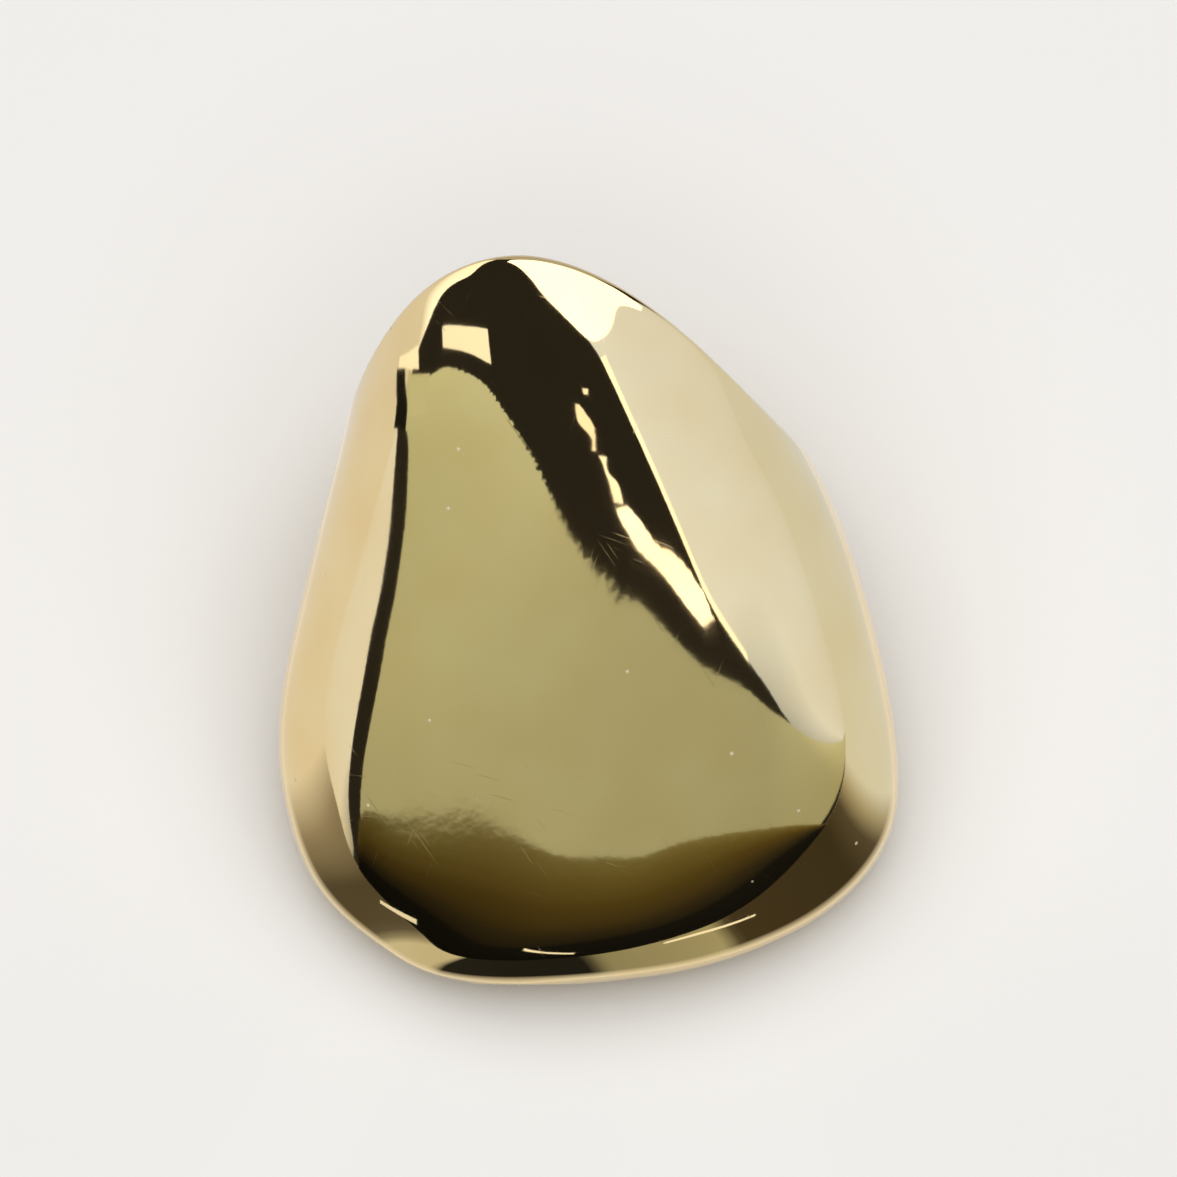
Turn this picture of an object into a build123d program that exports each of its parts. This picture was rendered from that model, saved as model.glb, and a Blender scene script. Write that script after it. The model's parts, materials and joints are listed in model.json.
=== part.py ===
from math import atan2, cos, hypot, pi, radians, sin
import os

from build123d import *

# A slip-on tooth cover in yellow gold: one thin shell with the form of an upper right
# lateral incisor's crown, closed at the biting edge and open at the gum end, where the
# tooth goes in. Millimetres. The crown is shaped upright: +Z towards the gum,
# -Y towards the lips, +X towards the middle of the smile. It is then laid down on its
# tongue side, as it lies when it is taken off.
crown_height = 9.75  # biting edge to the top of the gum line at the front
crown_width = 8.2  # across the two contact bulges
crown_depth = 6.8  # lips side to tongue side at the neck
wall = 0.5  # gold all round the tooth
rim_round = 0.15  # rounding of the gum rim's two edges
rim_round_most = 0.35  # the most that one rounding takes, as a share of the wall

# Sections from the biting edge to above the gum line. height is a share of
# crown_height, the columns left to back_crest are shares of crown_width from the axis,
# lips, tongue and bow are shares of crown_depth, and the rest are how square
# each side of the curve is (2 is an ellipse).
section_columns = (
    "height", "left", "right", "crest", "back_crest", "lips", "tongue", "bow",
    "square_left", "square_right", "square_back",
)  # fmt: skip
section_rows = (
    (0.003, -0.170, -0.010, -0.09, -0.09, 0.035, 0.035, 0.00, 2.0, 2.0, 2.0),
    (0.012, -0.235, 0.110, -0.07, -0.07, 0.070, 0.066, 0.01, 2.1, 2.1, 2.2),
    (0.030, -0.287, 0.212, -0.04, -0.03, 0.104, 0.090, 0.02, 2.2, 2.2, 2.6),
    (0.060, -0.338, 0.306, 0.00, -0.01, 0.130, 0.108, 0.04, 2.3, 2.3, 3.3),
    (0.092, -0.390, 0.378, 0.02, 0.00, 0.151, 0.120, 0.06, 2.4, 2.4, 3.5),
    (0.140, -0.440, 0.446, 0.05, 0.01, 0.179, 0.130, 0.08, 2.6, 2.5, 3.5),
    (0.190, -0.466, 0.492, 0.09, 0.01, 0.206, 0.138, 0.09, 2.8, 2.6, 3.4),
    (0.255, -0.487, 0.505, 0.14, 0.01, 0.239, 0.150, 0.09, 2.9, 2.6, 3.1),
    (0.320, -0.497, 0.503, 0.17, 0.01, 0.271, 0.165, 0.08, 3.0, 2.6, 3.0),
    (0.410, -0.488, 0.486, 0.16, 0.01, 0.314, 0.202, 0.07, 3.0, 2.5, 2.8),
    (0.525, -0.456, 0.452, 0.12, 0.00, 0.365, 0.280, 0.05, 2.9, 2.4, 2.5),
    (0.640, -0.422, 0.405, 0.06, 0.00, 0.410, 0.380, 0.02, 2.7, 2.3, 2.3),
    (0.750, -0.387, 0.340, 0.00, -0.01, 0.445, 0.472, 0.00, 2.5, 2.2, 2.2),
    (0.850, -0.360, 0.298, -0.04, -0.02, 0.456, 0.515, 0.00, 2.3, 2.2, 2.2),
    (0.930, -0.346, 0.280, -0.06, -0.03, 0.440, 0.510, 0.00, 2.2, 2.2, 2.2),
    (1.040, -0.338, 0.268, -0.08, -0.03, 0.385, 0.480, 0.00, 2.2, 2.2, 2.2),
)
tip_across = -0.09  # where the biting edge's lowest point lies, as a share of crown_width
crest_margin = 0.2  # a section's crest stays this share of its half width off its sides
hollow_half_depth = 0.25  # half depth of the narrowest section that the hollow reaches
ring_points = 24  # points on each section's curve

# The gum line: a mean height, a wave that lifts its lips side and a scallop that dips
# towards the neighbouring teeth. Heights are shares of crown_height, leans are degrees
# from the lips side towards the middle of the smile.
gum_mean = 0.849
gum_lift = 0.058
gum_lift_lean = -30.0
gum_scallop = 0.103
gum_scallop_lean = -8.0
gum_across = -0.043  # where the line's middle lies, as a share of crown_width
gum_flat = 0.12  # the cut flattens out inside this share of crown_width
gum_reach = 0.85  # how far the cut reaches each way, as a share of crown_width
gum_points = 15  # points each way on the cut's surface
gum_clear = 0.02  # the last section stands at least this share above the whole gum line

settle_rounds = 6  # rounds in which the resting plane finds its three touching points
box_tolerance = 0.01  # how closely the points that find the finished box follow the surface


def quarter(share, size, square):
    """One coordinate of a squared ellipse, for share from -1 to 1."""
    grown = size * abs(share) ** (2 / square)
    return grown if share >= 0 else -grown


def ring(row, inset):
    """The points of one section, pulled in by inset."""
    left = row["left"] * crown_width + inset
    right = row["right"] * crown_width - inset
    middle = (left + right) / 2
    half = (right - left) / 2
    margin = crest_margin * half
    points = []
    for i in range(ring_points):
        turn = 2 * pi * i / ring_points
        front = sin(turn) >= 0
        to_right = cos(turn) >= 0
        crest = row["crest" if front else "back_crest"] * crown_width
        crest = min(max(crest, left + margin), right - margin)
        depth = row["lips" if front else "tongue"] * crown_depth - inset
        side = "square_right" if to_right else "square_left"
        square = row[side if front else "square_back"]
        reach = right - crest if to_right else crest - left
        x = crest + quarter(cos(turn), reach, square)
        y = -quarter(sin(turn), depth, square)
        bow = row["bow"] * crown_depth * ((x - middle) / half) ** 2
        points.append((x, y + bow))
    return points


def crown_form(rows, inset, start=()):
    """The closed form through the sections, pulled in by inset all round."""
    sections = [*start]
    for row in rows:
        with BuildSketch(Plane.XY.offset(row["height"] * crown_height)) as section:
            with BuildLine():
                Spline(*ring(row, inset), periodic=True)
            make_face()
        sections.append(section.sketch)
    with BuildPart() as form:
        loft(sections)
    return form.part


def holds_hollow(row):
    """Whether the hollow reaches this section with a full wall round it."""
    half_depth = min(row["lips"], row["tongue"]) * crown_depth - wall
    return half_depth > hollow_half_depth and row["height"] * crown_height > wall


def gum_height(x, y):
    """Height of the gum line's surface above the biting edge."""
    x -= gum_across * crown_width
    bearing = atan2(x, -y)
    lift = gum_lift * cos(bearing - radians(gum_lift_lean))
    scallop = gum_scallop * cos(2 * (bearing - radians(gum_scallop_lean)))
    away = hypot(x, y)
    grown = away**2 / (away**2 + (gum_flat * crown_width) ** 2)
    return (gum_mean + grown * (lift + scallop)) * crown_height


def gum_cutter():
    """What lies above the gum line."""
    reach = gum_reach * crown_width
    across = [reach * (2 * i / (gum_points - 1) - 1) for i in range(gum_points)]
    heights = [[(x, y, gum_height(x, y)) for y in across] for x in across]
    surface = Face.make_surface_from_array_of_points(heights, min_deg=3)
    with BuildPart() as cutter:
        extrude(surface, amount=crown_height, dir=(0, 0, 1))
    return cutter.part


def resting_plane(rows):
    """The plane under the neck and both corners of the biting edge."""
    points = []
    for row in rows:
        height = row["height"] * crown_height
        points += [Vector(x, y, height) for x, y in ring(row, 0) if height < gum_height(x, y)]
    neck_points = [point for point in points if point.Z > crown_height / 2]
    left_points = [point for point in points if point.Z < crown_height / 2 and point.X < 0]
    right_points = [point for point in points if point.Z < crown_height / 2 and point.X > 0]
    down = Vector(0, 1, 0)
    for _ in range(settle_rounds):
        neck = max(neck_points, key=down.dot)
        left = max(left_points, key=down.dot)
        right = max(right_points, key=down.dot)
        down = (right - neck).cross(left - neck).normalized()
    return Plane(neck, x_dir=Vector(1, 0, 0) - down * down.X, z_dir=-down)


rows = [dict(zip(section_columns, values)) for values in section_rows]
gum_top = gum_mean + gum_lift + gum_scallop
rows[-1]["height"] = max(rows[-1]["height"], gum_top + gum_clear)
with BuildPart() as upright:
    add(crown_form(rows, 0, start=[Vertex(tip_across * crown_width, 0, 0)]))
    add(crown_form(filter(holds_hollow, rows), wall), mode=Mode.SUBTRACT)
    add(gum_cutter(), mode=Mode.SUBTRACT)
    rim = upright.edges().filter_by(lambda edge: edge.is_closed).sort_by(Axis.Z)[-2:]
    fillet(rim, min(rim_round, rim_round_most * wall))

laid = resting_plane(rows).location.inverse() * upright.part
surface_points, _ = laid.tessellate(box_tolerance)
low, high = [Vector(*(pick(p) for p in zip(*surface_points))) for pick in (min, max)]
with BuildPart() as tooth_cap:
    add(Pos(-(low.X + high.X) / 2, -(low.Y + high.Y) / 2, -low.Z) * laid)

tooth_cap.part.label = "tooth_cap"
os.makedirs("parts", exist_ok=True)
export_step(tooth_cap.part, "parts/tooth_cap.step")
print(high - low, tooth_cap.part.volume)
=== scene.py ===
import json
from bisect import bisect_right
from math import asin, atan2, cos, hypot, pi, radians, sin

import bmesh
import bpy
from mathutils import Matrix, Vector


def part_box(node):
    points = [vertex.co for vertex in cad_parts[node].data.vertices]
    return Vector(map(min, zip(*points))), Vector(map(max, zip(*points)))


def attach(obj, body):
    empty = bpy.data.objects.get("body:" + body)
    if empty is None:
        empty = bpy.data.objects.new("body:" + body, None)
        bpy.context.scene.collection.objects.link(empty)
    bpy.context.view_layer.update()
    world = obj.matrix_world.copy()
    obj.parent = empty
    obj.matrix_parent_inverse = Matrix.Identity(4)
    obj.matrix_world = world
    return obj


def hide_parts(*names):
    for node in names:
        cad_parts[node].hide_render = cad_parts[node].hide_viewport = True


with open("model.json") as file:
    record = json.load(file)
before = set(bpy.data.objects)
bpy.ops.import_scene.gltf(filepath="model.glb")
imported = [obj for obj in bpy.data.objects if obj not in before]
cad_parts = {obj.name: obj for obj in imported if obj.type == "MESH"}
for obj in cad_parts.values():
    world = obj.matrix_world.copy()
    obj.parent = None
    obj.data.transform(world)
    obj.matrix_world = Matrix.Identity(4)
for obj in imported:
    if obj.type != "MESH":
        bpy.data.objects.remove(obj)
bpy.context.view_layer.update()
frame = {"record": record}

# A slip-on tooth cover in yellow gold, taken off the tooth and lying on its tongue side.
# The cover is modelled upright, as a crown: +Z towards the gum, -Y towards the lips,
# +X towards the middle of the smile. Then it is laid down where the frame has it.

mm = 0.001
seatAxis = Vector(frame["record"]["mounts"][0]["axis"])  # the way the tooth goes in
bpy.ops.object.select_all(action="DESELECT")
print("frame loaded")


def linearColour(hexText):
    channels = [int(hexText[i : i + 2], 16) / 255 for i in (1, 3, 5)]
    curved = [c / 12.92 if c <= 0.04045 else ((c + 0.055) / 1.055) ** 2.4 for c in channels]
    return (*curved, 1)


def addNode(tree, kind, settings=(), inputs=()):
    # an input is either a value or the output of another node
    node = tree.nodes.new(kind)
    for name, value in dict(settings).items():
        setattr(node, name, value)
    for name, value in dict(inputs).items():
        if isinstance(value, bpy.types.NodeSocket):
            tree.links.new(value, node.inputs[name])
        else:
            node.inputs[name].default_value = value
    return node


# The crown's form. Each row is a section: its height as a share of the crown's height,
# then shares of its width (left to backCrest) and depth (lips, tongue, bow), and how
# square each side of the section is (2 is an ellipse).
crown = {
    "height": 9.75,  # mm, biting edge to the top of the gum line
    "width": 8.2,  # mm, across the two contact bulges
    "depth": 6.8,  # mm, lips side to tongue side at the neck
    "wall": 0.5,  # mm, gold all round the tooth
    "columns": ("height", "left", "right", "crest", "backCrest", "lips", "tongue", "bow",
                "squareLeft", "squareRight", "squareBack"),
    "rows": (
        (0.003, -0.170, -0.010, -0.09, -0.09, 0.035, 0.035, 0.00, 2.0, 2.0, 2.0),
        (0.012, -0.235, 0.110, -0.07, -0.07, 0.070, 0.066, 0.01, 2.1, 2.1, 2.2),
        (0.030, -0.287, 0.212, -0.04, -0.03, 0.104, 0.090, 0.02, 2.2, 2.2, 2.6),
        (0.060, -0.338, 0.306, 0.00, -0.01, 0.130, 0.108, 0.04, 2.3, 2.3, 3.3),
        (0.092, -0.390, 0.378, 0.02, 0.00, 0.151, 0.120, 0.06, 2.4, 2.4, 3.5),
        (0.140, -0.440, 0.446, 0.05, 0.01, 0.179, 0.130, 0.08, 2.6, 2.5, 3.5),
        (0.190, -0.466, 0.492, 0.09, 0.01, 0.206, 0.138, 0.09, 2.8, 2.6, 3.4),
        (0.255, -0.487, 0.505, 0.14, 0.01, 0.239, 0.150, 0.09, 2.9, 2.6, 3.1),
        (0.320, -0.497, 0.503, 0.17, 0.01, 0.271, 0.165, 0.08, 3.0, 2.6, 3.0),
        (0.410, -0.488, 0.486, 0.16, 0.01, 0.314, 0.202, 0.07, 3.0, 2.5, 2.8),
        (0.525, -0.456, 0.452, 0.12, 0.00, 0.365, 0.280, 0.05, 2.9, 2.4, 2.5),
        (0.640, -0.422, 0.405, 0.06, 0.00, 0.410, 0.380, 0.02, 2.7, 2.3, 2.3),
        (0.750, -0.387, 0.340, 0.00, -0.01, 0.445, 0.472, 0.00, 2.5, 2.2, 2.2),
        (0.850, -0.360, 0.298, -0.04, -0.02, 0.456, 0.515, 0.00, 2.3, 2.2, 2.2),
        (0.930, -0.346, 0.280, -0.06, -0.03, 0.440, 0.510, 0.00, 2.2, 2.2, 2.2),
        (1.040, -0.338, 0.268, -0.08, -0.03, 0.385, 0.480, 0.00, 2.2, 2.2, 2.2),
    ),
    "crestMargin": 0.2,  # a crest stays this share of the half width off the sides
    "gumMean": 0.849,  # the gum line: a mean height, a lift and a scallop round the crown
    "gumLift": 0.058,
    "gumLiftLean": -30,  # degrees from the lips side towards the middle of the smile
    "gumScallop": 0.103,
    "gumScallopLean": -8,
    "gumAcross": -0.043,  # where the line's middle lies, as a share of the width
    "gumFlat": 0.12,  # the lift and scallop die out inside this share of the width
    "gumRounds": 12,  # rounds in which a point finds the gum line
}

shell = {
    "around": 44,  # points round each ring of the cage
    "firstRing": 0.003,  # share of the height where the biting edge is closed
    "outerRings": (  # shares of the height, upwards on the outside
        0.012, 0.030, 0.060, 0.095, 0.145, 0.215, 0.305, 0.405, 0.515, 0.635, 0.760, 0.870,
    ),
    "innerRings": (0.86, 0.72, 0.56, 0.40, 0.25, 0.15, 0.09),  # and down again inside
    "hollowFloor": 0.060,  # share of the height where the hollow ends
    "level": 0.20,  # rings below this height lie level, and above it they lean to the gum line
    "leanPower": 1.4,
    "rimRound": 0.13,  # mm, rounding of the gum rim
    "rimBand": 0.30,  # mm, ring below the rim that keeps the wall straight
    "takenBack": 0.025,  # mm, how far smoothing pulls the wall in, so the cage stands out by it
    "smoothLevels": 3,
}


def blend(a, b, slopeA, slopeB, t):
    # a cubic from a to b with these slopes at its ends
    return (
        a * (1 + 2 * t) * (1 - t) ** 2 + b * (3 - 2 * t) * t**2
        + slopeA * t * (1 - t) ** 2 - slopeB * (1 - t) * t**2
    )


def sectionAt(share):
    # a smooth curve through the table's rows
    rows = crown["rows"]
    heights = [row[0] for row in rows]
    i = max(0, min(bisect_right(heights, share) - 1, len(rows) - 2))
    span = heights[i + 1] - heights[i]
    t = (share - heights[i]) / span

    def slopes(j):
        low, high = max(j - 1, 0), min(j + 1, len(rows) - 1)
        return [(b - a) / (heights[high] - heights[low]) for a, b in zip(rows[low], rows[high])]

    values = [
        blend(a, b, span * slopeA, span * slopeB, t)
        for a, b, slopeA, slopeB in zip(rows[i], rows[i + 1], slopes(i), slopes(i + 1))
    ]
    return dict(zip(crown["columns"], values))


def ringPoint(share, turn, inset):
    # one point of the section at this share of the height, pulled in by inset
    row = sectionAt(share)
    left = row["left"] * crown["width"] + inset
    right = row["right"] * crown["width"] - inset
    middle, half = (left + right) / 2, (right - left) / 2
    across, deep = cos(turn), sin(turn)
    crest = row["crest" if deep >= 0 else "backCrest"] * crown["width"]
    margin = crown["crestMargin"] * half
    crest = min(max(crest, left + margin), right - margin)
    square = row[("squareRight" if across >= 0 else "squareLeft") if deep >= 0 else "squareBack"]
    reach = right - crest if across >= 0 else crest - left
    depth = row["lips" if deep >= 0 else "tongue"] * crown["depth"] - inset
    pull = (abs(across) ** square + abs(deep) ** square) ** (-1 / square)
    x = crest + reach * across * pull
    y = -depth * deep * pull + row["bow"] * crown["depth"] * ((x - middle) / half) ** 2
    return Vector((x, y, share * crown["height"]))


def gumHeight(x, y):
    x -= crown["gumAcross"] * crown["width"]
    bearing = atan2(x, -y)
    lift = crown["gumLift"] * cos(bearing - radians(crown["gumLiftLean"]))
    scallop = crown["gumScallop"] * cos(2 * (bearing - radians(crown["gumScallopLean"])))
    away = hypot(x, y)
    grown = away**2 / (away**2 + (crown["gumFlat"] * crown["width"]) ** 2)
    return crown["gumMean"] + grown * (lift + scallop)


def gumShare(turn, inset):
    # where the gum line crosses the wall at this turn
    share = crown["gumMean"]
    for _ in range(crown["gumRounds"]):
        point = ringPoint(share, turn, inset)
        share = (share + gumHeight(point.x, point.y)) / 2
    return share


turns = [2 * pi * i / shell["around"] for i in range(shell["around"])]


def wallRing(share, inset, drop=0):
    # a whole ring, level near the biting edge and leaning with the gum line above;
    # share 1 is the gum line, and drop is how far below it the ring stays, in mm
    points = []
    for turn in turns:
        level = shell["level"]
        lean = max(0, (share - level) / (1 - level)) ** shell["leanPower"]
        height = share + (gumShare(turn, inset) - 1) * lean - drop / crown["height"]
        points.append(ringPoint(height, turn, inset) * mm)
    return points


def rimRing(inset):
    # a ring on the cut face of the rim, at gum line height
    return [ringPoint(gumShare(turn, inset), turn, inset) * mm for turn in turns]


def placeRing(mesh, number, points):
    # puts the selected ring on its points; turn and ring are carried along by extrusion
    form = bmesh.from_edit_mesh(mesh)
    turnLayer, ringLayer = form.verts.layers.int["turn"], form.verts.layers.int["ring"]
    for vert in form.verts:
        if vert.select:
            vert.co = points[vert[turnLayer]]
            vert[ringLayer] = number
    bmesh.update_edit_mesh(mesh)


def closeRing(mesh, number):
    bpy.ops.mesh.select_all(action="DESELECT")
    form = bmesh.from_edit_mesh(mesh)
    ringLayer = form.verts.layers.int["ring"]
    for vert in form.verts:
        vert.select = vert[ringLayer] == number
    form.select_flush(True)
    bmesh.update_edit_mesh(mesh)
    bpy.ops.mesh.fill_grid(span=shell["around"] // 4)


def modelCover():
    soft = shell["rimRound"]
    band = shell["rimBand"]
    outside = -shell["takenBack"]
    inside = crown["wall"] - shell["takenBack"]
    rings = [wallRing(shell["firstRing"], outside)]
    rings += [wallRing(share, outside) for share in shell["outerRings"]]
    rings += [wallRing(1, outside, drop) for drop in (band, soft / 2)]
    rings += [rimRing(inset) for inset in (outside + soft / 2, inside - soft / 2)]
    outerCount = len(rings)
    rings += [wallRing(1, inside, drop) for drop in (soft / 2, band)]
    rings += [wallRing(share, inside) for share in (*shell["innerRings"], shell["hollowFloor"])]

    bpy.ops.mesh.primitive_circle_add(vertices=shell["around"], radius=crown["width"] / 2 * mm)
    cover = bpy.context.object
    cover.name = cover.data.name = "tooth_cover_shell"
    bpy.ops.object.mode_set(mode="EDIT")
    form = bmesh.from_edit_mesh(cover.data)
    form.verts.layers.int.new("turn")
    form.verts.layers.int.new("ring")
    form.verts.ensure_lookup_table()
    for i, vert in enumerate(form.verts):
        vert[form.verts.layers.int["turn"]] = i
    bpy.ops.mesh.select_all(action="SELECT")
    placeRing(cover.data, 0, rings[0])
    for number, points in enumerate(rings[1:], 1):
        bpy.ops.mesh.extrude_region_move()
        placeRing(cover.data, number, points)
    closeRing(cover.data, 0)
    closeRing(cover.data, len(rings) - 1)
    bpy.ops.mesh.select_all(action="SELECT")
    bpy.ops.mesh.normals_make_consistent(inside=False)
    bpy.ops.object.mode_set(mode="OBJECT")
    print("cage:", len(rings), "rings,", len(cover.data.polygons), "faces")
    return cover, outerCount


def markInside(cover, outerCount):
    # the inner wall takes the second material
    rings = cover.data.attributes["ring"].data
    for face in cover.data.polygons:
        numbers = [rings[v].value for v in face.vertices]
        face.material_index = int(min(numbers) >= outerCount - 1)


def smoothCover(cover):
    smooth = cover.modifiers.new("smooth", "SUBSURF")
    smooth.levels = smooth.render_levels = shell["smoothLevels"]
    bpy.ops.object.modifier_apply(modifier=smooth.name)
    bpy.ops.object.shade_smooth()
    print("skin:", len(cover.data.polygons), "faces")


def layDown(cover):
    # turned so that the crown's axis is the seat's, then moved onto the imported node's box
    cover.rotation_euler.x = asin(seatAxis.z) - pi / 2
    bpy.ops.object.transform_apply(location=False, rotation=True, scale=False)
    low = Vector(min(v.co[i] for v in cover.data.vertices) for i in range(3))
    high = Vector(max(v.co[i] for v in cover.data.vertices) for i in range(3))
    cadLow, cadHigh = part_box("tooth_cap")
    shift = (cadLow + cadHigh - low - high) / 2
    shift.z = cadLow.z - low.z
    cover.location = shift
    bpy.ops.object.transform_apply(location=True, rotation=False, scale=False)
    print("laid down, box", [round(c / mm, 3) for c in (*(low + shift), *(high + shift))])


polish = {
    "gold": "#F6E1AE",
    "deepGold": "#F0D49A",
    "rippleSize": 0.9,  # mm, soft waves left by the polishing wheel
    "rippleHeight": 0.0004,  # mm
    "grainSize": 0.13,  # mm, finer unevenness that frays the reflections' edges
    "grainHeight": 0.00012,  # mm
    "scratchLeans": (38, -24, 74),  # degrees across the crown
    "scratchSize": (0.018, 0.9),  # mm wide and long, drawn as coarse as it needs to show
    "scratchShown": (0.765, 0.82),  # noise where a scratch starts, and where it is full
    "scratchDepth": 0.00004,  # mm
    "dust": "#D9CFAE",
    "dustSpacing": 0.7,  # mm
    "dustSize": 0.03,  # mm, where a speck starts
    "dustCore": 0.6,  # share of that size in which the speck is solid
    "roughness": (0.025, 0.05),  # in the waves' low and high places
    "scratchRoughness": 0.13,
}


def scratchesIn(tree, place, lean):
    # sparse hairlines at one lean, 1 on a scratch and 0 off it
    width, length = (size * mm for size in polish["scratchSize"])
    stretched = addNode(
        tree, "ShaderNodeMapping", {"vector_type": "TEXTURE"},
        {"Vector": place, "Rotation": (0, 0, radians(lean)), "Scale": (width, length, length)},
    )
    streaks = addNode(
        tree, "ShaderNodeTexNoise", {},
        {"Vector": stretched.outputs[0], "Scale": 1.0, "Detail": 1.0, "Roughness": 0.3},
    )
    start, full = polish["scratchShown"]
    return addNode(
        tree, "ShaderNodeMapRange", {}, {0: streaks.outputs[0], 1: start, 2: full}
    ).outputs[0]


def mirrorGold():
    # yellow gold, cast and then polished to a mirror: sharp reflections that waver and
    # fray a little where the wheel left the surface uneven, hairline scratches that
    # show in dark reflections, and a few specks of dust
    material = bpy.data.materials.new("mirror_polished_yellow_gold")
    material.use_nodes = True
    tree = material.node_tree
    tree.nodes.clear()
    place = addNode(tree, "ShaderNodeTexCoord").outputs["Object"]
    ripple, grain = (
        addNode(
            tree, "ShaderNodeTexNoise", {},
            {"Vector": place, "Scale": 1 / (size * mm), "Detail": 1.0, "Roughness": 0.4},
        ).outputs[0]
        for size in (polish["rippleSize"], polish["grainSize"])
    )
    scratches = None
    for lean in polish["scratchLeans"]:
        some = scratchesIn(tree, place, lean)
        if scratches:
            some = addNode(
                tree, "ShaderNodeMath", {"operation": "MAXIMUM"}, {0: scratches, 1: some}
            ).outputs[0]
        scratches = some
    cells = addNode(
        tree, "ShaderNodeTexVoronoi", {},
        {"Vector": place, "Scale": 1 / (polish["dustSpacing"] * mm), "Randomness": 1.0},
    )
    speck = polish["dustSize"] / polish["dustSpacing"]
    dust = addNode(
        tree, "ShaderNodeMapRange", {},
        {0: cells.outputs["Distance"], 1: speck, 2: speck * polish["dustCore"]},
    ).outputs[0]

    tone = addNode(
        tree, "ShaderNodeMix", {"data_type": "RGBA"},
        {0: ripple, 6: linearColour(polish["gold"]), 7: linearColour(polish["deepGold"])},
    )
    dusted = addNode(
        tree, "ShaderNodeMix", {"data_type": "RGBA"},
        {0: dust, 6: tone.outputs[2], 7: linearColour(polish["dust"])},
    )
    bare = addNode(tree, "ShaderNodeMath", {"operation": "SUBTRACT"}, {0: 1.0, 1: dust})
    gloss = addNode(
        tree, "ShaderNodeMapRange", {},
        {0: ripple, 3: polish["roughness"][0], 4: polish["roughness"][1]},
    )
    marks = addNode(tree, "ShaderNodeMath", {"operation": "MAXIMUM"}, {0: scratches, 1: dust})
    roughness = addNode(
        tree, "ShaderNodeMix", {},
        {0: marks.outputs[0], 2: gloss.outputs[0], 3: polish["scratchRoughness"]},
    )
    relief = None
    for height, depth in (
        (ripple, polish["rippleHeight"]), (grain, polish["grainHeight"]),
        (scratches, -polish["scratchDepth"]),
    ):
        links = {"Height": height, "Distance": depth * mm, "Strength": 1.0}
        if relief:
            links["Normal"] = relief
        relief = addNode(tree, "ShaderNodeBump", {}, links).outputs[0]
    surface = addNode(
        tree, "ShaderNodeBsdfPrincipled", {},
        {
            "Base Color": dusted.outputs[2],
            "Metallic": bare.outputs[0],
            "Roughness": roughness.outputs[0],
            "Normal": relief,
        },
    )
    addNode(tree, "ShaderNodeOutputMaterial", {}, {"Surface": surface.outputs[0]})
    return material


castFinish = {
    "gold": "#E6C684",
    "grainSize": 0.12,  # mm, the mould's grain, drawn as coarse as it needs to show
    "grainHeight": 0.01,  # mm
    "roughness": 0.38,
}


def castGold():
    # the same gold inside, as it came from the mould: satin, with a fine grain
    material = bpy.data.materials.new("as_cast_yellow_gold")
    material.use_nodes = True
    tree = material.node_tree
    tree.nodes.clear()
    place = addNode(tree, "ShaderNodeTexCoord").outputs["Object"]
    grain = addNode(
        tree, "ShaderNodeTexNoise", {},
        {"Vector": place, "Scale": 1 / (castFinish["grainSize"] * mm), "Detail": 4.0},
    )
    relief = addNode(
        tree, "ShaderNodeBump", {},
        {"Height": grain.outputs[0], "Distance": castFinish["grainHeight"] * mm, "Strength": 1.0},
    )
    surface = addNode(
        tree, "ShaderNodeBsdfPrincipled", {},
        {
            "Base Color": linearColour(castFinish["gold"]),
            "Metallic": 1.0,
            "Roughness": castFinish["roughness"],
            "Normal": relief.outputs[0],
        },
    )
    addNode(tree, "ShaderNodeOutputMaterial", {}, {"Surface": surface.outputs[0]})
    return material


cover, outerCount = modelCover()
markInside(cover, outerCount)
cover.data.materials.append(mirrorGold())
cover.data.materials.append(castGold())
smoothCover(cover)
layDown(cover)
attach(cover, "root")
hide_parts("tooth_cap")
print("cover finished")


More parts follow.
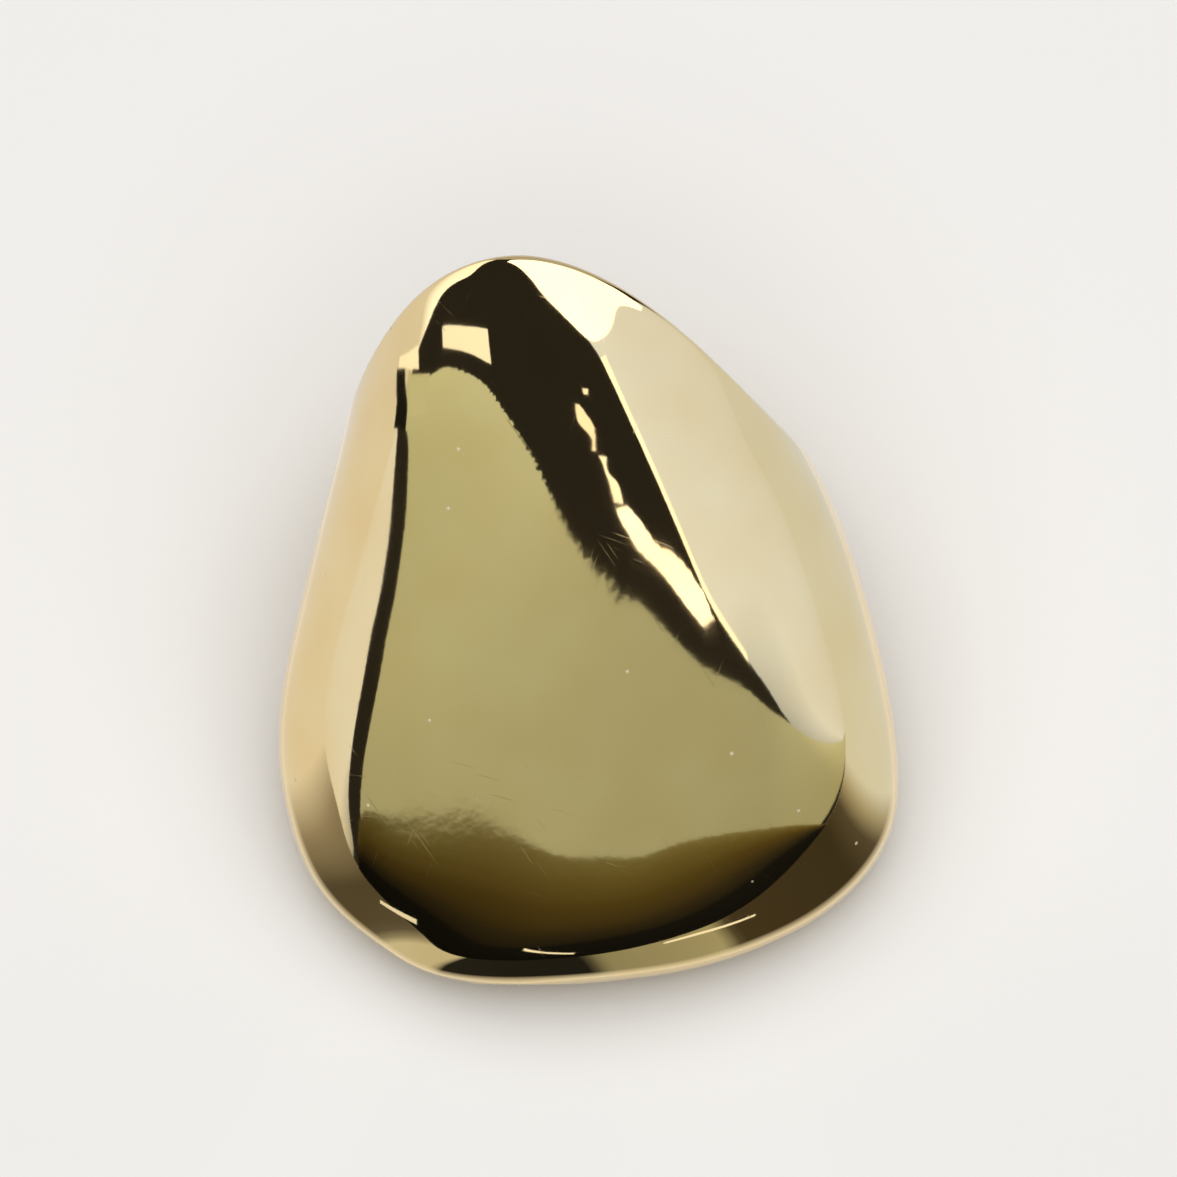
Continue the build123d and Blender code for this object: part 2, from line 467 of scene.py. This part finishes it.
# Panels that the gold mirrors, each a patch of a sphere round the cover. A rung runs
# from (azimuth, elevation) to (azimuth, elevation) in degrees as the cover sees them,
# azimuth 0 towards -Y and 90 towards +X, and the patch is smooth through its rungs. glow
# holds (place along a rung, radiance, tint), fade holds (place from the first rung to the
# last, strength) and fadeReach how far up the rungs it acts, frayed says how deep the far
# ends of the rungs are nibbled, in how many teeth and how far along, and a nearer panel
# hides what is behind it.
panels = {
    "front_softbox": {
        "away": 420,  # mm
        "glow": ((0, 0.42, "#F8FFE2"), (0.5, 0.46, "#F8FFE4"), (1, 0.50, "#F8FFE6")),
        "fade": ((0, 1.42), (0.35, 1.22), (0.60, 0.92), (0.75, 0.88), (0.85, 1.05), (0.92, 1.4), (1, 1.6)),
        "frayed": (0.030, 130, 0.55),
        "rungs": (
            (-96, 0.5, -94, 8), (-86, 10.5, -86, 28), (-73, 16.8, -65, 47), (-65, 19.4, -40, 51.3),
            (-57.5, 20.6, -17.7, 47), (-53.7, 17.7, -9.7, 43), (-51.5, 11.5, -4.9, 41), (-49, 4, 3, 38.5),
            (-25, 4, 12, 35.3), (0, 4, 30.6, 31.5), (30, 3, 40, 27.2), (60, 1, 49, 21.5),
            (72, 0, 62, 11), (84, 0, 78, 3),
        ),
    },
    "flank_card": {
        "away": 400,
        "glow": ((0, 0.84, "#FCFAFA"), (0.5, 0.95, "#F0F4FF"), (1, 0.98, "#F0F4FF")),
        "fade": ((0, 1), (0.8, 1), (1, 0.4)),
        "rungs": (
            (-98, -5, -98, -3), (-92.5, -2, -92, 2.4), (-81, -1, -81, 9), (-72, -1, -71, 14.1),
            (-65, -1, -64, 16.2), (-61, -1, -59.5, 14), (-57, -1, -56, 8.4), (-55, -1, -54.5, 2),
        ),
    },
    "mesial_softbox": {
        "away": 380,
        "glow": ((0, 1.22, "#DCE7FF"), (0.6, 1.10, "#DEE8FF"), (1, 0.95, "#E6EEFF")),
        "fade": ((0, 0.80), (0.09, 0.66), (0.18, 0.56), (0.30, 0.72), (0.42, 1)),
        "fadeReach": 0.3,
        "rungs": (
            (72, 2, 76, 0), (60, 12, 84, 0), (49, 21.5, 95, 0), (43.4, 27.7, 108, 0), (36, 33, 120, 0),
            (29.5, 37, 130, 3), (27.5, 40.5, 130, 9), (29, 45.5, 130, 15), (36, 54, 129, 21),
            (45, 63, 128, 28), (58, 71.5, 127, 35), (70, 80, 126, 42),
        ),
    },
    "mesial_edge_tube": {
        "away": 370,
        "glow": ((0, 1.5, "#FFFFFF"), (1, 1.5, "#FFFFFF")),
        "rungs": (
            (38, 31.5, 39, 32), (29.5, 37, 31.5, 37.5), (27.5, 40.5, 30, 41), (29, 45.5, 32.2, 45.7),
            (36, 54, 40.5, 53.6), (45, 63, 51, 62.2), (58, 71.5, 67, 70),
        ),
    },
    "low_card": {
        "away": 250,
        "glow": ((0, 0.006, "#FFFFFF"), (0.46, 0.008, "#FFFFFF"), (0.52, 0.018, "#FFEAC0"),
                 (0.64, 0.030, "#FFE6A8"), (0.84, 0.078, "#FFDE7C"), (0.94, 0.125, "#FFE88C"),
                 (1, 0.175, "#FFF0A0")),
        "fade": ((0, 0.6), (0.3, 0.85), (0.6, 1), (1, 1.2)),
        "rungs": (
            (-53, 0, -53, 5), (-50, 0, -50, 10), (-37, 0, -37, 21), (-26, 0, -26, 27.2),
            (-18, 0, -18, 29.7), (-12, 0, -12, 30.4), (-7, 0, -7, 30.3), (-2, 0, -2, 30),
            (3, 0, 3, 29.3), (8.5, 0, 8.5, 27.8), (14.6, 0, 14.6, 25.6), (20.8, 0, 20.8, 22.4),
            (30.5, 0, 30.5, 16.3), (41.5, 0, 41.5, 8.1), (50, 0, 50, 0.5),
        ),
    },
    "apex_lamp": {
        "away": 300,
        "glow": ((0, 2.2, "#FFFFFF"), (1, 2.2, "#FFFFFF")),
        "rungs": (
            (-150, 50, -160, 42), (-140, 72, -170, 42), (-139, 81, 178, 41), (101, 87.5, 170, 40),
            (66, 78.5, 160, 38), (74, 73.6, 148, 36), (90, 67, 138, 34), (103, 61, 130, 34),
            (108, 45, 120, 34),
        ),
    },
    "small_lamp": {
        "away": 300,
        "glow": ((0, 1.2, "#FFFFFF"), (1, 1.2, "#FFFFFF")),
        "rungs": ((-97, 19, -93, 22), (-91.5, 37, -82, 41), (-84.5, 53.4, -65.6, 53.5)),
    },
    "corner_lamp": {
        "away": 20,
        "glow": ((0, 1.2, "#FFFFFF"), (1, 1.2, "#FFFFFF")),
        "rungs": ((-110.7, 2.5, -112, 1.4), (-106.8, 11.7, -109.5, 8.5), (-103.1, 20.3, -107.4, 16)),
    },
    "corner_flag": {
        "away": 21,
        "glow": ((0, 0.01, "#FFFFFF"), (1, 0.01, "#FFFFFF")),
        "rungs": ((-111, 0.4, -108.8, 6.8), (-107.5, 4.5, -105.9, 10.2), (-104.3, 8.1, -99.5, 16.9),
                  (-100, 11, -94, 20)),
    },
    "corner_fill": {
        "away": 23,
        "glow": ((0, 0.64, "#F8FFE4"), (1, 0.64, "#F8FFE4")),
        "rungs": ((-97, 15, -106, 10), (-96, 18, -104, 13.4), (-93, 23, -102, 17.6), (-89, 29, -97.5, 27)),
    },
    "lamp_streak": {
        "away": 300,
        "glow": ((0, 2.0, "#FFFAF4"), (1, 2.0, "#FFFAF4")),
        "frayed": (0.16, 14, 1),
        "rungs": (
            (3, 44.3, 7, 45.3), (3.2, 43.4, 9, 44.5), (4, 42.6, 10.6, 43.7), (5.4, 41.3, 13, 42.7),
            (10, 40.1, 20.9, 42.3), (16, 38.3, 26, 40.2), (21.3, 36.7, 28.9, 36.8),
        ),
    },
    "lamp_thread": {
        "away": 300,
        "glow": ((0, 1.6, "#FFFAF4"), (1, 1.6, "#FFFAF4")),
        "rungs": (
            (3, 50.9, 6.4, 51.4), (3.6, 50.2, 5.2, 50.4), (3.4, 48.6, 4.4, 48.7), (3.4, 47.2, 6.3, 47.6),
            (3, 44.9, 5.3, 45.2),
        ),
    },
    "lamp_drop": {
        "away": 300,
        "glow": ((0, 1.4, "#FFF4E8"), (1, 1.4, "#FFF4E8")),
        "frayed": (0.2, 9, 1),
        "rungs": (
            (0.7, 61.5, 3, 61.8), (-0.4, 57, 6.9, 57.3), (2.9, 54.2, 4.7, 54.4), (1.4, 51.5, 2.8, 51.7),
        ),
    },
    "lamp_dot": {
        "away": 300,
        "glow": ((0, 1.4, "#FFFAF4"), (1, 1.4, "#FFFAF4")),
        "rungs": ((10, 66.6, 15.5, 66.8), (9, 65, 12.5, 65.1)),
    },
    "tube_front": {
        "away": 240,
        "glow": ((0, 1.1, "#FFFFFF"), (1, 1.1, "#FFFFFF")),
        "rungs": ((-10.7, 12.8, -10.7, 14.6), (-4.2, 7.9, -4.2, 9.5), (0.4, 4.4, 0.4, 6)),
    },
    "tube_mesial": {
        "away": 12,
        "glow": ((0, 1.1, "#FFFFFF"), (1, 1.1, "#FFFFFF")),
        "rungs": ((15, 4.3, 15, 5.7), (19, 3.9, 19, 5.5), (23, 2.9, 23, 4.6), (31.5, 0.1, 31.5, 1.2)),
    },
    "tube_distal": {
        "away": 12,
        "glow": ((0, 0.9, "#FFFFFF"), (1, 0.9, "#FFFFFF")),
        "rungs": ((-42.5, 4.1, -42.5, 5.4), (-38.6, 5.9, -38.6, 7.4), (-34.6, 8, -34.6, 9.7)),
    },
    "rear_left_card": {
        "away": 420,
        "glow": ((0, 0.9, "#FAFAFF"), (0.4, 1.4, "#FAFAFF"), (1, 1.5, "#FAFAFF")),
        "rungs": (
            (-101, 0, -101, 12), (-106, 0, -104, 24), (-114, 0, -109, 38), (-126, 0, -125, 38),
            (-140, 0, -142, 30), (-158, 0, -158, 18),
        ),
    },
    "back_softbox": {
        "away": 420,
        "glow": ((0, 0.5, "#FFFFFF"), (1, 0.5, "#FFFFFF")),
        "rungs": ((145, 5, 150, 34), (165, 5, 165, 38), (195, 5, 190, 38), (205, 5, 200, 32)),
    },
}

# What the gold mirrors below the horizon: a ring of board on the floor round the cover,
# just outside the camera's view, which glows by itself: painted light and shade in place of
# the lit floor. Its glow changes round the ring, by azimuth in degrees, and meets a painted copy of the
# floor's lit tone at its inner edge.
surround = {
    "inner": 5.1,  # mm
    "full": 5.8,  # mm, from here out the ring has its whole tone
    "outer": 420,  # mm
    "height": 0.02,  # mm above the floor
    "corners": 96,
    # painted light: the lit floor's tone, glowing where the ring meets the floor
    "paintedFloorLight": "#F2EFEB",
    "glow": (
        (-180, 0.60, "#FFFFFF"), (-125, 0.80, "#FCFAFA"), (-70, 0.84, "#FCFAFA"), (-60, 0.30, "#FFF4E0"),
        (-50, 0.09, "#FFF0D0"), (-40, 0.10, "#FFF0D0"), (-37, 0.14, "#FFF4E0"), (-35.5, 0.62, "#FFFFF0"),
        (-26, 0.60, "#FFFFF0"), (-24, 0.02, "#FFFFFF"), (2, 0.015, "#FFFFFF"), (5, 0.30, "#FFFFE0"),
        (18, 0.36, "#FFFFE0"), (24, 0.40, "#FFFFE0"), (27, 0.06, "#FFE8B8"), (50, 0.05, "#FFE8B8"),
        (58, 0.10, "#FFF0D0"), (64, 0.44, "#FFFCE8"), (70, 0.92, "#E8F0FC"), (125, 0.88, "#E8F0FC"),
        (180, 0.60, "#FFFFFF"),
    ),
}


def directionOf(azimuth, elevation):
    a, e = radians(azimuth), radians(elevation)
    return Vector((sin(a) * cos(e), -cos(a) * cos(e), sin(e)))


def throughPoints(points, share):
    # a smooth curve through the points, share running from 0 to 1
    last = len(points) - 1
    i = min(int(share * last), last - 1)

    def slope(j):
        return (points[min(j + 1, last)] - points[max(j - 1, 0)]) / 2

    return blend(points[i], points[i + 1], slope(i), slope(i + 1), share * last - i)


def addGlowRamp(tree, share, glow):
    # the glow's (place, radiance, tint) stops, as a colour that follows share
    ramp = addNode(tree, "ShaderNodeValToRGB", {}, {0: share})
    stops = ramp.color_ramp.elements
    while len(stops) < len(glow):
        stops.new(1)
    for stop, (at, radiance, tint) in zip(stops, glow):
        stop.position = at
        stop.color = (*(radiance * c for c in linearColour(tint)[:3]), 1)
    return ramp.outputs[0]


def onlyMirrored(piece):
    # seen in the gold alone
    piece.visible_camera = False
    piece.visible_shadow = False
    piece.visible_diffuse = False


tornNoise = (0.35, 0.75)  # noise where a torn edge starts to bite, and where it bites fully


def fray(tree, light, onPanel, frayed):
    # lets the light through only where the panel's torn edge leaves something of it
    depth, teeth, until = frayed
    place = addNode(tree, "ShaderNodeMath", {"operation": "MULTIPLY"}, {0: onPanel["X"], 1: teeth})
    torn = addNode(
        tree, "ShaderNodeTexNoise", {"noise_dimensions": "1D"},
        {"W": place.outputs[0], "Scale": 1.0, "Detail": 2.0, "Roughness": 0.6},
    )
    bite = addNode(
        tree, "ShaderNodeMapRange", {},
        {0: torn.outputs[0], 1: tornNoise[0], 2: tornNoise[1], 3: 0.0, 4: depth},
    )
    within = addNode(tree, "ShaderNodeMath", {"operation": "LESS_THAN"}, {0: onPanel["X"], 1: until})
    cut = addNode(
        tree, "ShaderNodeMath", {"operation": "MULTIPLY"}, {0: bite.outputs[0], 1: within.outputs[0]}
    )
    fromEdge = addNode(tree, "ShaderNodeMath", {"operation": "SUBTRACT"}, {0: 1.0, 1: onPanel["Y"]})
    left = addNode(
        tree, "ShaderNodeMath", {"operation": "GREATER_THAN"}, {0: fromEdge.outputs[0], 1: cut.outputs[0]}
    )
    clear = addNode(tree, "ShaderNodeBsdfTransparent")
    return addNode(
        tree, "ShaderNodeMixShader", {}, {0: left.outputs[0], 1: clear.outputs[0], 2: light}
    ).outputs[0]


panelSteps = (4, 8)  # faces from rung to rung, and along a rung


def addPanel(name, away, glow, rungs, fade=((0, 1), (1, 1)), fadeReach=None, frayed=None):
    bpy.ops.mesh.primitive_grid_add(
        x_subdivisions=panelSteps[0] * (len(rungs) - 1), y_subdivisions=panelSteps[1], size=2
    )
    panel = bpy.context.object
    panel.name = name
    starts = [directionOf(*rung[:2]) for rung in rungs]
    ends = [directionOf(*rung[2:]) for rung in rungs]
    for vert in panel.data.vertices:
        along, across = (vert.co.x + 1) / 2, (vert.co.y + 1) / 2
        start, end = throughPoints(starts, along), throughPoints(ends, along)
        vert.co = start.lerp(end, across).normalized() * away * mm

    # a lit diffuser: an even glow that changes slowly across it
    material = bpy.data.materials.new(name + "_diffuser")
    material.use_nodes = True
    tree = material.node_tree
    tree.nodes.clear()
    place = addNode(tree, "ShaderNodeTexCoord").outputs["UV"]
    onPanel = addNode(tree, "ShaderNodeSeparateXYZ", {}, {0: place}).outputs
    tone = addGlowRamp(tree, onPanel["Y"], glow)
    strength = addGlowRamp(tree, onPanel["X"], [(at, part, "#FFFFFF") for at, part in fade])
    if fadeReach:
        beyond = addNode(tree, "ShaderNodeMapRange", {}, {0: onPanel["Y"], 1: 0.0, 2: fadeReach}).outputs[0]
        strength = addNode(tree, "ShaderNodeMix", {}, {0: beyond, 2: strength, 3: 1.0}).outputs[0]
    light = addNode(tree, "ShaderNodeEmission", {}, {"Color": tone, "Strength": strength}).outputs[0]
    if frayed:
        light = fray(tree, light, onPanel, frayed)
    addNode(tree, "ShaderNodeOutputMaterial", {}, {"Surface": light})
    panel.data.materials.append(material)
    onlyMirrored(panel)


def laySurround():
    bpy.ops.mesh.primitive_circle_add(vertices=surround["corners"], radius=surround["inner"] * mm)
    ring = bpy.context.object
    ring.name = "low_surround"
    bpy.ops.object.mode_set(mode="EDIT")
    bpy.ops.mesh.select_all(action="SELECT")
    bpy.ops.mesh.extrude_edges_move()
    bpy.ops.transform.resize(value=[surround["outer"] / surround["inner"]] * 3)
    bpy.ops.object.mode_set(mode="OBJECT")
    ring.location.z = surround["height"] * mm
    bpy.ops.object.transform_apply(location=True, rotation=False, scale=False)

    # painted light and shade: the board glows by itself, brighter on some sides than on others, in place of
    # spill from the panels
    material = bpy.data.materials.new("low_surround_painted_light")
    material.use_nodes = True
    tree = material.node_tree
    tree.nodes.clear()
    place = addNode(tree, "ShaderNodeTexCoord").outputs["Object"]
    axes = addNode(tree, "ShaderNodeSeparateXYZ", {}, {0: place}).outputs
    front = addNode(tree, "ShaderNodeMath", {"operation": "MULTIPLY"}, {0: axes["Y"], 1: -1}).outputs[0]
    azimuth = addNode(tree, "ShaderNodeMath", {"operation": "ARCTAN2"}, {0: axes["X"], 1: front})
    share = addNode(tree, "ShaderNodeMapRange", {}, {0: azimuth.outputs[0], 1: -pi, 2: pi})
    tone = addGlowRamp(tree, share.outputs[0], [((at + 180) / 360, *rest) for at, *rest in surround["glow"]])
    away = addNode(tree, "ShaderNodeVectorMath", {"operation": "LENGTH"}, {0: place}).outputs["Value"]
    outward = addNode(
        tree, "ShaderNodeMapRange", {},
        {0: away, 1: surround["inner"] * mm, 2: surround["full"] * mm},
    )
    # painted light: fades from the floor's painted lit tone at the inner edge to the ring's painted glow
    colour = addNode(
        tree, "ShaderNodeMix", {"data_type": "RGBA"},
        {0: outward.outputs[0], 6: linearColour(surround["paintedFloorLight"]), 7: tone},
    )
    light = addNode(tree, "ShaderNodeEmission", {}, {"Color": colour.outputs[2]})
    addNode(tree, "ShaderNodeOutputMaterial", {}, {"Surface": light.outputs[0]})
    ring.data.materials.append(material)
    onlyMirrored(ring)


studio = {
    "floorRadius": 600,  # mm
    "floorCorners": 96,
    "floorColour": "#ECEAE7",
    "floorRoughness": 0.9,
    "fillWidth": 900,  # mm across the overhead light
    "fillHeight": 450,  # mm above the floor
    "floorFill": 2.0,  # radiance of the overhead light, which the gold doesn't show
    "worldColour": (0.022, 0.020, 0.018, 1),
    "cameraDistance": 250,  # mm
    "frameWidth": 15.5,  # mm, what the frame spans at the cover
    "farthest": 10,  # m, how far the camera sees
}


def layFloor():
    # pale board with a matt coat, which shows soft shade and no gloss
    bpy.ops.mesh.primitive_circle_add(
        vertices=studio["floorCorners"], radius=studio["floorRadius"] * mm, fill_type="NGON"
    )
    floor = bpy.context.object
    floor.name = "studio_floor"
    material = bpy.data.materials.new("pale_matt_board")
    material.use_nodes = True
    surface = material.node_tree.nodes["Principled BSDF"]
    surface.inputs["Base Color"].default_value = linearColour(studio["floorColour"])
    surface.inputs["Roughness"].default_value = studio["floorRoughness"]
    floor.data.materials.append(material)


def addFloorFill():
    # lights the floor from overhead, and the gold doesn't show it
    light = bpy.data.lights.new("floor_fill", "AREA")
    light.shape = "DISK"
    light.size = studio["fillWidth"] * mm
    light.energy = studio["floorFill"] * pi * pi * (light.size / 2) ** 2  # watts from the disc
    lamp = bpy.data.objects.new("floor_fill", light)
    bpy.context.scene.collection.objects.link(lamp)
    lamp.location = (0, 0, studio["fillHeight"] * mm)
    lamp.visible_camera = False
    lamp.visible_glossy = False


def addCamera():
    # square to the crown's axis, as in the photo
    low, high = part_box("tooth_cap")
    centre = (low + high) / 2
    back = Vector((0, -seatAxis.z, seatAxis.y)).normalized()
    data = bpy.data.cameras.new("camera")
    data.lens = data.sensor_width * studio["cameraDistance"] / studio["frameWidth"]
    data.clip_end = studio["farthest"]
    camera = bpy.data.objects.new("camera", data)
    bpy.context.scene.collection.objects.link(camera)
    camera.location = centre + back * studio["cameraDistance"] * mm
    camera.rotation_euler = back.to_track_quat("Z", "Y").to_euler()
    bpy.context.scene.camera = camera


layFloor()
laySurround()
addFloorFill()
for name, panel in panels.items():
    addPanel(name, **panel)
print("floor, ring and", len(panels), "panels laid out")
world = bpy.data.worlds.new("dark_studio")
world.use_nodes = True
world.node_tree.nodes["Background"].inputs["Color"].default_value = studio["worldColour"]
bpy.context.scene.world = world
bpy.context.scene.view_settings.view_transform = "Standard"
addCamera()
print("studio ready")
